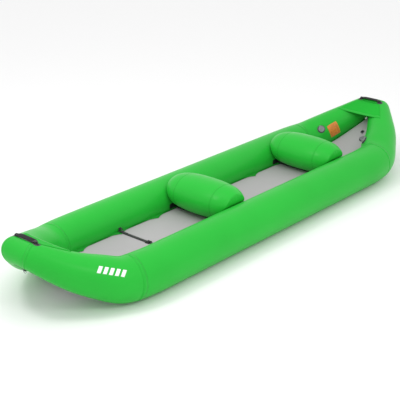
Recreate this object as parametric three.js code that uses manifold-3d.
// Inflatable tandem kayak: two side tubes joined at blunt noses, a drop-stitch floor, two inflatable
// thwarts, and the valves, straps, rings and handles bonded to them.
// Millimetres, +X towards the bow, +Y to port, +Z up. The hull rests on its side tubes at z = 0.
import * as THREE from 'three';
import { mergeVertices } from 'three/addons/utils/BufferGeometryUtils.js';
import Module from 'manifold-3d';

const wasm = await Module();
wasm.setup();

// Hull
const GAP = 0.3;                 // running gap between pieces that touch
const SIDES = 24;                // facets round a side tube
const BEAM = 380;                // centreline to side tube centreline
const TUBE_R = 148;              // side tube radius amidships
const NOSE_X = 1897;             // station of the nose axis
const NOSE_Y = 66;               // half length of the nose axis
const NOSE_Z = 392;              // height of the nose axis
const NOSE_R = 83;               // nose radius
const TAPER_X = 1300;            // the side tubes taper from here to the nose
const FACET = 1 / Math.cos(Math.PI / SIDES);

// Floor
const FLOOR_TOP = 118;
const FLOOR_THICK = 98;
const FLOOR_END_X = 1800;
const FLOOR_END_THICK = 55;
const FLOOR_RISE_X = 1350;       // the floor sweeps up from here
const FLOOR_RISE = 205;          // its rise 500 mm further on
const FLOOR_SIDE_GAP = 3;
const FLOOR_EDGE_R = 12;

// Scalloped flange over the floor's edges
const SCALLOP = 364;             // spacing of the points
const SCALLOP_AT = 162;          // station of one point
const SCALLOP_DEEP = 48;
const SCALLOP_SHALLOW = 1.5;
const SCALLOP_FULLNESS = 0.55;   // below 1, the lobes are fuller and the points sharper
const FLANGE_END_X = 1340;
const FLANGE_THICK = 2;
const FLANGE_CLIMB = 4;

// Thwarts
const THWART_X = { front: 250, rear: -959 };
const THWART_HALF_LENGTH = 166;  // fore and aft
const THWART_HALF_HEIGHT = 134;
const THWART_MID_Z = 254.5;
const THWART_HALF_WIDTH = 285;
const THWART_ROUND_FROM = 70;    // the ends round off from here
const THWART_END_SCALE = 0.6;
const THWART_SHIFT = 40;         // travel each way
const THWART_CLEAR = 3;          // from the tubes, so that it can shift

// Deck panels
const DECK_EDGE_X = 1700;
const DECK_END_X = 1826;
const DECK_THICK = 3;
const DECK_REACH = 0.8;          // share of the tube centreline's offset

// Valves
const VALVE_X = -1544;
const VALVE_ANGLE = 34;          // degrees above level, on the tube's inner face
const VALVE = { flange: 33, collar: 26, barrel: 22, bore: 18.5, depth: 24, stem: 3.6, hole: 4.4, cap: 25 };
const THWART_VALVE_SCALE = 0.62;
const THWART_VALVE_Y = 120;
const RELIEF_SCALE = 0.5;
const FLOOR_VALVE_LIFT = 1.5;

// Label patch: stations and angles above level on the tube's inner face
const LABEL_SPAN = [-1587, -1675];
const LABEL_ARC = [-15, 36];
const LABEL_LIFT = 2.5;

// Webbing and rings
const WEB = 25;
const WEB_THICK = 2;
const ROD_R = 2.4;
const LOOP_R = 3.0;              // inside radius of a webbing loop round a ring
const LOOP_WALL = 2;
const RING_W = 36;
const RING_H = 17;
const RING_DROP = 43;            // degrees a strap's rings hang below their anchor's normal
const STRAP_X = { foot: 872, front: 291, rear: -918 };
const FOOT_BUCKLE_Y = 40;
const ANCHOR_ANGLE = -3.5;       // degrees above level, on the tube's inner face
const ANCHOR_LIFT = 1;
const ANCHOR_LENGTH = 40;
const ANCHOR_BREADTH = 26;
const TOW_ANGLE = 73;            // degrees below level, from the nose axis
const TOW_Y = 40;                // towards the port end of the nose
const TOW_LIFT = 6;
const TOW_RING_W = 26;
const HANDLE_HALF = 92;
const HANDLE_W = 42;
const HANDLE_X = 1866;
const HANDLE_LIFT = 4.8;
const GRIP_RISE = 5;             // of the handle's middle over its ends
const GRIP_THICK = 4;

const COLOURS = {
  green: [0x35c442, 0.45, 0], grey: [0xb4b4b4, 0.6, 0], black: [0x161616, 0.8, 0],
  steel: [0xb8babd, 0.25, 1], valve: [0x8f8f98, 0.5, 0], orange: [0xdc8c32, 0.6, 0],
};

const v3 = (x, y, z) => new THREE.Vector3(x, y, z);
const rad = THREE.MathUtils.degToRad;
const kayak = new THREE.Group();

function add(name, geometry, colour, parent = kayak) {
  const [color, roughness, metalness] = COLOURS[colour];
  const mesh = new THREE.Mesh(geometry, new THREE.MeshStandardMaterial({ color, roughness, metalness }));
  mesh.name = name;
  parent.add(mesh);
  return mesh;
}

// ---- closed solids and booleans

function solid(geometry) {
  const bare = geometry.clone();
  bare.deleteAttribute('normal');
  bare.deleteAttribute('uv');
  const merged = mergeVertices(bare, 1e-3);
  return new wasm.Manifold(new wasm.Mesh({
    numProp: 3,
    vertProperties: merged.attributes.position.array,
    triVerts: new Uint32Array(merged.index.array),
  }));
}

function geometryOf(manifold) {
  const { vertProperties, triVerts } = manifold.getMesh();
  const geometry = new THREE.BufferGeometry();
  geometry.setAttribute('position', new THREE.BufferAttribute(new Float32Array(vertProperties), 3));
  geometry.setIndex(new THREE.BufferAttribute(new Uint32Array(triVerts), 1));
  return geometry;
}

const joined = (...parts) => geometryOf(parts.map(solid).reduce((a, b) => a.add(b)));

// Skins equal rings of points into a closed solid. Thin rings list one face, then the other backwards.
function loft(rings, { loop = false, thin = false } = {}) {
  const n = rings[0].length;
  const points = rings.flat();
  const index = [];
  const spans = loop ? rings.length : rings.length - 1;
  for (let i = 0; i < spans; i++) {
    const a = i * n;
    const b = ((i + 1) % rings.length) * n;
    for (let j = 0; j < n; j++) {
      const k = (j + 1) % n;
      index.push(a + j, b + j, b + k, a + j, b + k, a + k);
    }
  }
  for (const [end, flip] of loop ? [] : [[0, false], [rings.length - 1, true]]) {
    const at = end * n;
    const tri = (a, b, c) => index.push(...(flip ? [a, c, b] : [a, b, c]));
    if (thin) {
      for (let j = 0; j < n / 2 - 1; j++) {
        const [a, b, c, d] = [at + j, at + j + 1, at + n - 2 - j, at + n - 1 - j];
        tri(a, b, c);
        tri(a, c, d);
      }
    } else {
      const centre = rings[end].reduce((s, p) => s.add(p), v3(0, 0, 0)).divideScalar(n);
      points.push(centre);
      for (let j = 0; j < n; j++) tri(points.length - 1, at + j, at + (j + 1) % n);
    }
  }
  const geometry = new THREE.BufferGeometry().setFromPoints(points);
  geometry.setIndex(index);
  if (signedVolume(points, index) < 0) geometry.setIndex(index.reverse());
  return geometry;
}

function signedVolume(points, index) {
  let sum = 0;
  for (let i = 0; i < index.length; i += 3) {
    const [a, b, c] = [points[index[i]], points[index[i + 1]], points[index[i + 2]]];
    sum += a.dot(b.clone().cross(c));
  }
  return sum;
}

// A sheet of even thickness on surface(u, v), which gives a point and its normal.
function sheet(surface, nu, nv, lift, thick) {
  const rings = [];
  for (let i = 0; i <= nu; i++) {
    const line = [];
    for (let j = 0; j <= nv; j++) line.push(surface(i / nu, j / nv));
    const low = line.map(({ p, n }) => p.clone().addScaledVector(n, lift));
    const high = line.map(({ p, n }) => p.clone().addScaledVector(n, lift + thick));
    rings.push([...low, ...high.reverse()]);
  }
  return loft(rings, { thin: true });
}

function halfSpace(point, normal) {
  const reach = 6000;
  const turn = new THREE.Quaternion().setFromUnitVectors(v3(0, 0, 1), normal.clone().normalize());
  const block = box(reach, reach, reach, 0, 0, reach / 2).applyQuaternion(turn);
  return solid(block.translate(point.x, point.y, point.z));
}

// A round rod along a closed path in the XZ plane.
function closedRod(path, radius, sides = 8) {
  const up = v3(0, 1, 0);
  const rings = path.map((p, i) => {
    const ahead = path[(i + 1) % path.length].clone().sub(path.at(i - 1)).normalize();
    const out = ahead.clone().cross(up);
    return Array.from({ length: sides }, (_, j) => {
      const a = (j + 0.5) * 2 * Math.PI / sides;
      return p.clone().addScaledVector(out, radius * Math.cos(a)).addScaledVector(up, radius * Math.sin(a));
    });
  });
  return loft(rings, { loop: true });
}

const lathe = (profile, segments) =>
  new THREE.LatheGeometry(profile.map(([r, z]) => new THREE.Vector2(r, z)), segments).rotateX(Math.PI / 2);

const box = (w, d, h, x, y, z) => new THREE.BoxGeometry(w, d, h).translate(x, y, z);

const disc = (r, h, sides, z) =>
  new THREE.CylinderGeometry(r, r, h, sides).rotateX(Math.PI / 2).translate(0, 0, z);

// ---- side tubes

const HALF_LINE = [
  [500, BEAM, TUBE_R], [1000, BEAM, TUBE_R], [1250, 377, TUBE_R], [1430, 351, 156],
  [1560, 292, 203], [1700, 219, 267], [NOSE_X, NOSE_Y, NOSE_Z],
];
const aft = HALF_LINE.map(([x, y, z]) => v3(-x, y, z)).reverse();
const fore = HALF_LINE.map(([x, y, z]) => v3(x, y, z));
const tubeLine = new THREE.CatmullRomCurve3([...aft, v3(0, BEAM, TUBE_R), ...fore], false, 'centripetal');

function tubeRadius(x) {
  const along = Math.max(0, (Math.abs(x) - TAPER_X) / (NOSE_X - TAPER_X));
  return TUBE_R - (TUBE_R - NOSE_R) * along ** 2;
}

// The port tube's centre, tangent, inward and upward directions and radius at station x.
function station(x) {
  let [low, high] = [0, 1];
  for (let i = 0; i < 40; i++) {
    const mid = (low + high) / 2;
    if (tubeLine.getPoint(mid).x < x) low = mid; else high = mid;
  }
  const centre = tubeLine.getPoint(low);
  const tangent = tubeLine.getTangent(low);
  const inward = tangent.clone().cross(v3(0, 0, 1)).normalize();
  const up = inward.clone().cross(tangent);
  return { centre, tangent, inward, up, radius: tubeRadius(x) };
}

const CURVED = 12;               // rings over each curved end of a tube
const endXs = Array.from({ length: CURVED }, (_, i) => NOSE_X - (i * (NOSE_X - 1000)) / CURVED);
const tubeXs = [...endXs.map((x) => -x), -1000, -500, 0, 500, 1000, ...endXs.toReversed()];
const stations = tubeXs.map(station);

function tubeRing({ centre, inward, up, radius }) {
  return Array.from({ length: SIDES }, (_, j) => {
    const a = (j + 0.5) * 2 * Math.PI / SIDES;
    return centre.clone()
      .addScaledVector(inward, radius * FACET * Math.cos(a))
      .addScaledVector(up, radius * FACET * Math.sin(a));
  });
}

// Distance from a point to the port tube's skin, positive outside it.
const samples = Array.from({ length: 241 }, (_, i) => station(-NOSE_X + (i * NOSE_X) / 120));
function clearance(p) {
  return Math.min(...samples.map((s) => p.distanceTo(s.centre) - s.radius * FACET));
}

function search(inside, outside, isInside) {
  for (let i = 0; i < 30; i++) {
    const mid = (inside + outside) / 2;
    if (isInside(mid)) inside = mid; else outside = mid;
  }
  return inside;
}

// Half breadth between the tubes at a station and height, less a side gap.
const halfBreadth = (x, z, gap) => search(0, BEAM, (y) => clearance(v3(x, y, z)) > gap);

// Height of the tube's upper surface over a point of the plan.
const tubeTop = (x, y) => search(station(x).centre.z, 700, (z) => clearance(v3(x, y, z)) < GAP);

// Point and normal on a side tube's skin, by station and angle above level on the inner face.
function onTube(side, x, degrees) {
  const { centre, tangent, inward, up, radius } = station(x);
  const n = inward.clone().multiplyScalar(Math.cos(rad(degrees))).addScaledVector(up, Math.sin(rad(degrees)));
  const p = centre.clone().addScaledVector(n, radius * FACET);
  const mirror = v3(1, side, 1);
  return { p: p.multiply(mirror), n: n.multiply(mirror), t: tangent.clone().multiply(mirror) };
}

// Places a piece made with +Z as its outward axis, +X along t, and +Y never pointing down.
function seat({ p, n, t }, lift = GAP) {
  const frame = new THREE.Group();
  const y = n.clone().cross(t).normalize();
  if (y.z < 0) y.negate();
  const x = y.clone().cross(n);
  frame.setRotationFromMatrix(new THREE.Matrix4().makeBasis(x, y, n));
  frame.position.copy(p).addScaledVector(n, lift);
  kayak.add(frame);
  frame.updateMatrixWorld(true);
  return frame;
}

// ---- valve geometry, with the skin at z = 0

// What a valve cuts from the piece it is set in: a bore for its barrel and a flat under its flange.
const pocket = joined(disc(VALVE.barrel + 1, 46, 20, -20), disc(VALVE.flange + 1, 40, 20, 20 - GAP));

function valveBody(k = 1) {
  const { flange, collar, barrel, bore, depth, hole } = VALVE;
  return lathe([
    [hole, -depth], [barrel, -depth], [barrel, 0], [flange, 0], [flange, 2], [collar, 4],
    [collar, 7], [bore + 1, 7], [bore, -16], [hole, -16], [hole, -depth],
  ], 18).scale(k, k, k);
}

function valvePlunger(k = 1) {
  const { stem, depth } = VALVE;
  return lathe([
    [0, -depth - 5], [11, -depth - 5], [11, -depth - 0.5], [stem, -depth - 0.5], [stem, -9], [7, -9],
    [7, -5], [0, -5],
  ], 14).scale(k, k, k);
}

const CAP_PIVOT = v3(0, VALVE.cap + 4, 9.5);
function valveCap(k = 1) {
  const { cap, bore } = VALVE;
  const plug = bore - 0.8;
  const lid = lathe([
    [0, 3], [plug, 3], [plug, 7.4], [cap, 7.4], [cap, 10.5], [cap - 2, 11.5], [0, 11.5],
  ], 18);
  const grip = box(26, 4, 5, 0, 0, 13);
  const tongue = box(12, 8, 3, 0, CAP_PIVOT.y - 4, 9.2);
  const barrel = new THREE.CylinderGeometry(2.2, 2.2, 12, 10).rotateZ(Math.PI / 2);
  barrel.translate(0, CAP_PIVOT.y, CAP_PIVOT.z);
  return joined(lid, grip, tongue, barrel).scale(k, k, k);
}

function addValve(name, frame, parts = ['body', 'cap', 'plunger'], k = 1) {
  const make = { body: valveBody, cap: valveCap, plunger: valvePlunger };
  const colour = { body: 'valve', cap: 'valve', plunger: 'black' };
  for (const part of parts) add(`${name}_${part}`, make[part](k), colour[part], frame);
}

const tubeValves = { port: onTube(1, VALVE_X, VALVE_ANGLE), starboard: onTube(-1, VALVE_X, VALVE_ANGLE) };

function pocketIn(frame, k = 1) {
  const cut = pocket.clone().scale(k, k, k);
  return solid(cut.applyMatrix4(frame.matrixWorld));
}

// ---- hull pieces

// The mitre plane where a side tube meets the nose: its point and its heading into the nose.
function mitre(end, side, offset) {
  const { centre, tangent } = station(end * NOSE_X);
  const heading = tangent.clone().multiplyScalar(end).add(v3(0, -1, 0)).normalize();
  const mirror = v3(1, side, 1);
  heading.multiply(mirror);
  return { point: centre.clone().multiply(mirror).addScaledVector(heading, offset), heading };
}

function addHull() {
  const first = stations[0];
  const last = stations.at(-1);
  const overrun = (s, step) => ({ ...s, centre: s.centre.clone().addScaledVector(s.tangent, step) });
  const rings = [overrun(first, -110), ...stations, overrun(last, 110)].map(tubeRing);
  const whole = solid(loft(rings));
  for (const [name, side] of [['port', 1], ['starboard', -1]]) {
    let tube = side > 0 ? whole : whole.mirror([0, 1, 0]);
    tube = tube.intersect(halfSpace(v3(0, side * GAP / 2, 0), v3(0, side, 0)));
    for (const end of [1, -1]) {
      const { point, heading } = mitre(end, side, -GAP / 2);
      tube = tube.subtract(halfSpace(point, heading));
    }
    tube = tube.subtract(pocketIn(valveFrames[name]));
    add(`${name}_tube`, geometryOf(tube), 'green');
  }
  for (const [name, end] of [['bow', 1], ['stern', -1]]) {
    const barrel = new THREE.CylinderGeometry(NOSE_R * FACET, NOSE_R * FACET, 700, SIDES);
    let nose = solid(barrel.translate(end * NOSE_X, 0, NOSE_Z));
    for (const side of [1, -1]) {
      const { point, heading } = mitre(end, side, GAP / 2);
      nose = nose.intersect(halfSpace(point, heading));
    }
    add(`${name}_nose`, geometryOf(nose), 'green');
  }
}

const floorTop = (x) => {
  const along = Math.max(0, (Math.abs(x) - FLOOR_RISE_X) / 500);
  return FLOOR_TOP + FLOOR_RISE * along ** 2.1;
};

function floorRing(x) {
  const along = Math.max(0, (Math.abs(x) - FLOOR_RISE_X) / (FLOOR_END_X - FLOOR_RISE_X));
  const top = floorTop(x);
  const bottom = top - THREE.MathUtils.lerp(FLOOR_THICK, FLOOR_END_THICK, along);
  const e = FLOOR_EDGE_R;
  const reach = (z) => halfBreadth(x, z, FLOOR_SIDE_GAP);
  const rim = Math.min(reach(top - e), reach(top));
  const keel = Math.min(rim, reach(bottom + e), reach(bottom));
  const half = [[keel - e, bottom], [keel, bottom + e], [rim, top - e], [rim - e, top]];
  const port = half.map(([y, z]) => v3(x, y, z));
  const starboard = half.map(([y, z]) => v3(x, -y, z)).reverse();
  return [...port, ...starboard];
}

function addFloor() {
  const xs = [];
  for (let x = FLOOR_END_X; x > FLOOR_RISE_X - 60; x -= 50) xs.push(x);
  const rings = [...xs.map((x) => -x), 0, ...xs.reverse()].map(floorRing);
  let floor = solid(loft(rings));
  floor = floor.subtract(pocketIn(valveFrames.floor)).subtract(pocketIn(valveFrames.relief, RELIEF_SCALE));
  add('floor', geometryOf(floor), 'grey');
}

function addFlanges() {
  const steps = Math.round((2 * FLANGE_END_X) / (SCALLOP / 10));
  const section = (x) => {
    const z = floorTop(x) + GAP;
    const wall = halfBreadth(x, z + FLANGE_CLIMB / 2, FLOOR_SIDE_GAP / 2);
    const wave = Math.abs(Math.sin(Math.PI * (x - SCALLOP_AT) / SCALLOP)) ** SCALLOP_FULLNESS;
    const edge = wall - THREE.MathUtils.lerp(SCALLOP_DEEP, SCALLOP_SHALLOW, wave);
    return [[wall, z], [wall, z + FLANGE_CLIMB], [edge, z + FLANGE_THICK], [edge, z]];
  };
  for (const [name, side] of [['port', 1], ['starboard', -1]]) {
    const rings = [];
    for (let i = 0; i <= steps; i++) {
      const x = -FLANGE_END_X + (2 * FLANGE_END_X * i) / steps;
      rings.push(section(x).map(([y, z]) => v3(x, side * y, z)));
    }
    add(`${name}_floor_flange`, loft(rings), 'green');
  }
}

function addDecks() {
  for (const [name, end] of [['bow', 1], ['stern', -1]]) {
    const surface = (u, v) => {
      const x = end * THREE.MathUtils.lerp(DECK_EDGE_X, DECK_END_X, u);
      const edge = station(x).centre.y * DECK_REACH;
      return { p: v3(x, edge * (2 * v - 1), tubeTop(x, edge)), n: v3(0, 0, 1) };
    };
    add(`${name}_deck`, sheet(surface, 4, 6, GAP, DECK_THICK), 'green');
  }
}

// A plain patch on the starboard tube's inner face, between the valve and the stern.
function addLabel() {
  const surface = (u, v) => {
    const x = THREE.MathUtils.lerp(...LABEL_SPAN, u);
    return onTube(-1, x, THREE.MathUtils.lerp(...LABEL_ARC, v));
  };
  add('safety_label', sheet(surface, 4, 5, LABEL_LIFT, 0.8), 'orange');
}

// ---- thwarts

function thwartGeometry(x) {
  const turns = 20;
  const ring = (side, sweep) => {
    const scale = 1 - (1 - THWART_END_SCALE) * (1 - Math.cos(sweep));
    const reach = THWART_ROUND_FROM + (THWART_HALF_WIDTH - THWART_ROUND_FROM) * Math.sin(sweep);
    return Array.from({ length: turns }, (_, j) => {
      const a = j * 2 * Math.PI / turns;
      const z = THWART_MID_Z + THWART_HALF_HEIGHT * scale * Math.sin(a);
      return v3(x + THWART_HALF_LENGTH * scale * Math.cos(a), side * reach, z);
    });
  };
  const sweeps = [90, 76, 63, 45, 22, 0].map(rad);
  return loft([...sweeps.map((a) => ring(-1, a)), ...sweeps.toReversed().map((a) => ring(1, a))]);
}

function addThwart(name) {
  const x = THWART_X[name];
  let thwart = solid(thwartGeometry(x));
  const clear = tubeRing({ ...station(0), radius: TUBE_R + THWART_CLEAR });
  const wall = loft([clear.map((p) => p.clone().setX(-1400)), clear.map((p) => p.clone().setX(1400))]);
  thwart = thwart.subtract(solid(wall)).subtract(solid(wall).mirror([0, 1, 0]));
  const frame = new THREE.Group();
  frame.rotation.y = -Math.PI / 2;
  frame.position.set(x - THWART_HALF_LENGTH * 0.94, THWART_VALVE_Y, THWART_MID_Z);
  kayak.add(frame);
  frame.updateMatrixWorld(true);
  const k = THWART_VALVE_SCALE;
  thwart = thwart.subtract(pocketIn(frame, k));
  for (const room of anchorRoom(STRAP_X[name])) thwart = thwart.subtract(room);
  add(`${name}_thwart`, geometryOf(thwart), 'green');
  addValve(`${name}_thwart_valve`, frame, ['body', 'cap'], k);
}

// ---- rings, anchors and straps

// A rounded rectangular ring in its own XZ plane, hanging from a bar at the origin towards +Z.
function ringPath(width, height, corner) {
  const path = [];
  const centres = [[1, 1], [-1, 1], [-1, 0], [1, 0]];
  centres.forEach(([sx, sz], quarter) => {
    for (let i = 0; i <= 2; i++) {
      const a = quarter * Math.PI / 2 + i * Math.PI / 4;
      const cx = sx * (width / 2 - corner);
      const cz = sz ? height - corner : corner;
      path.push(v3(cx + corner * Math.cos(a), 0, cz + corner * Math.sin(a)));
    }
  });
  return path;
}

// A D-shaped ring: a straight bar at the origin and a half round towards +Z.
function dPath(width) {
  const r = width / 2;
  const path = [v3(r, 0, 0)];
  for (let i = 1; i < 12; i++) {
    const a = i * Math.PI / 12;
    path.push(v3(r * Math.cos(a), 0, 4 + r * Math.sin(a)));
  }
  path.push(v3(-r, 0, 0));
  return path;
}

const ANCHOR_H = 1.4 + LOOP_R + LOOP_WALL;

// A bonded patch with a webbing loop along X; the skin is at z = 0 and the loop's axis at ANCHOR_H.
function anchor(length, breadth, loopLength) {
  const outline = new THREE.Shape();
  const r = LOOP_R + LOOP_WALL;
  outline.moveTo(-r, -ANCHOR_H + 0.8);
  outline.lineTo(r, -ANCHOR_H + 0.8);
  outline.lineTo(r, 0);
  outline.absarc(0, 0, r, 0, Math.PI, false);
  outline.closePath();
  const hole = new THREE.Path();
  hole.absarc(0, 0, LOOP_R, 0, 2 * Math.PI, true);
  outline.holes.push(hole);
  const how = { depth: loopLength, bevelEnabled: false, curveSegments: 6 };
  const loop = new THREE.ExtrudeGeometry(outline, how);
  loop.translate(0, 0, -loopLength / 2).rotateX(Math.PI / 2).rotateZ(Math.PI / 2);
  loop.translate(0, 0, ANCHOR_H);
  return joined(box(length, breadth, 1.4, 0, 0, 0.7), loop);
}

// Where a strap's port ring turns on its anchor, and where its outer bar is, at station x.
function ringEnd(x) {
  const { p, n, t } = onTube(1, x, ANCHOR_ANGLE);
  const pivot = p.addScaledVector(n, ANCHOR_LIFT + ANCHOR_H);
  const pull = n.clone().applyAxisAngle(t, rad(RING_DROP));
  return { pivot, bar: pivot.clone().addScaledVector(pull, RING_H) };
}

// A strap laid from ring bar to ring bar, with a sewn loop at each end.
function strapGeometry(x) {
  const { bar } = ringEnd(x);
  const out = LOOP_R + WEB_THICK;
  const along = (radius, length, y) => {
    const rod = new THREE.CylinderGeometry(radius, radius, length, 14);
    return solid(rod.rotateZ(Math.PI / 2).translate(x, y, bar.z));
  };
  let strap = solid(box(WEB, 2 * bar.y, WEB_THICK, x, 0, bar.z - out + WEB_THICK / 2));
  for (const y of [bar.y, -bar.y]) strap = strap.add(along(out, WEB, y));
  for (const y of [bar.y, -bar.y]) strap = strap.subtract(along(LOOP_R, WEB + 2, y));
  return geometryOf(strap);
}

// Room at a thwart's lower front corners for the strap's anchors and rings, wherever the thwart shifts.
function anchorRoom(x) {
  const from = x - ANCHOR_LENGTH / 2 - THWART_SHIFT - 3;
  const top = ringEnd(x).pivot.z + 24;
  const length = 2 * THWART_HALF_LENGTH;
  return [1, -1].map((side) => solid(box(length, 200, top, from + length / 2, side * 290, top / 2)));
}

// A ladder-lock buckle round the strap, with its lever on top.
function buckle() {
  const frame = solid(box(WEB + 10, 34, WEB_THICK + 5, 0, 0, 0));
  const slot = solid(box(WEB + 1.2, 60, WEB_THICK + 1, 0, 0, 0));
  const lever = solid(new THREE.BoxGeometry(WEB, 16, 3).rotateX(rad(24)).translate(0, 12, WEB_THICK + 5));
  return geometryOf(frame.subtract(slot).add(lever));
}

function addStrap(name) {
  const x = STRAP_X[name];
  const label = name === 'foot' ? 'foot_strap' : `${name}_thwart_strap`;
  for (const [sideName, side] of [['port', 1], ['starboard', -1]]) {
    const frame = seat(onTube(side, x, ANCHOR_ANGLE), ANCHOR_LIFT);
    add(`${label}_${sideName}_anchor`, anchor(ANCHOR_LENGTH, ANCHOR_BREADTH, RING_W - 9), 'black', frame);
    const rod = closedRod(ringPath(RING_W, RING_H, 4.5), ROD_R, 6);
    const ring = add(`${label}_${sideName}_ring`, rod, 'steel', frame);
    ring.position.z = ANCHOR_H;
    ring.rotation.x = rad(RING_DROP);
  }
  add(label, strapGeometry(x), 'black');
}

function addFootBuckle() {
  const x = STRAP_X.foot;
  const clip = add('foot_strap_buckle', buckle(), 'black');
  clip.position.set(x, FOOT_BUCKLE_Y, ringEnd(x).bar.z - LOOP_R - WEB_THICK / 2);
}

// ---- nose fittings

function addTowRing(name, end) {
  const down = rad(-TOW_ANGLE);
  const n = v3(end * Math.cos(down), 0, Math.sin(down));
  const p = v3(end * NOSE_X, TOW_Y, NOSE_Z).addScaledVector(n, NOSE_R * FACET);
  const frame = seat({ p, n, t: v3(0, 1, 0) }, TOW_LIFT);
  add(`${name}_tow_anchor`, anchor(20, 34, 18), 'grey', frame);
  const ring = add(`${name}_tow_ring`, closedRod(dPath(TOW_RING_W), ROD_R, 8), 'steel', frame);
  ring.position.z = ANCHOR_H;
  ring.rotation.x = rad(90 - TOW_ANGLE);
}

function addHandle(name, end) {
  const y = HANDLE_HALF;
  const foot = v3(end * HANDLE_X, y, tubeTop(end * HANDLE_X, y));
  const axisZ = foot.z + HANDLE_LIFT + ANCHOR_H;
  for (const [sideName, side] of [['port', 1], ['starboard', -1]]) {
    const frame = seat({ p: foot.clone().setY(side * y), n: v3(0, 0, 1), t: v3(0, 1, 0) }, HANDLE_LIFT);
    add(`${name}_handle_${sideName}_anchor`, anchor(16, 20, 14), 'black', frame);
  }
  const grip = (u, v) => {
    const t = 2 * u - 1;
    const z = axisZ + GRIP_RISE * (1 - t ** 4);
    return { p: v3(foot.x + (v - 0.5) * HANDLE_W, t * (y - 9), z), n: v3(0, 0, 1) };
  };
  const bars = [1, -1].map((side) => {
    const bar = new THREE.CylinderGeometry(ROD_R, ROD_R, 24, 10);
    return bar.translate(foot.x, side * (y - 3), axisZ);
  });
  add(`${name}_handle`, joined(sheet(grip, 10, 1, -GRIP_THICK / 2, GRIP_THICK), ...bars), 'black');
}

// ---- assembly

function floorFrame(x, y) {
  const slope = (floorTop(x + 1) - floorTop(x - 1)) / 2;
  const n = v3(-slope, 0, 1).normalize();
  return seat({ p: v3(x, y, floorTop(x)), n, t: v3(-1, 0, -slope).normalize() }, FLOOR_VALVE_LIFT);
}

const valveFrames = {
  port: seat(tubeValves.port),
  starboard: seat(tubeValves.starboard),
  floor: floorFrame(-1665, 76),
  relief: floorFrame(-1728, 26),
};

addHull();
addFloor();
addFlanges();
addDecks();
addThwart('front');
addThwart('rear');
for (const name of ['foot', 'front', 'rear']) addStrap(name);
addFootBuckle();
addLabel();
for (const name of ['port', 'starboard', 'floor']) addValve(`${name}_valve`, valveFrames[name]);
addValve('relief_valve', valveFrames.relief, ['body', 'plunger'], RELIEF_SCALE);
for (const [name, end] of [['bow', 1], ['stern', -1]]) {
  addTowRing(name, end);
  addHandle(name, end);
}

export default kayak;
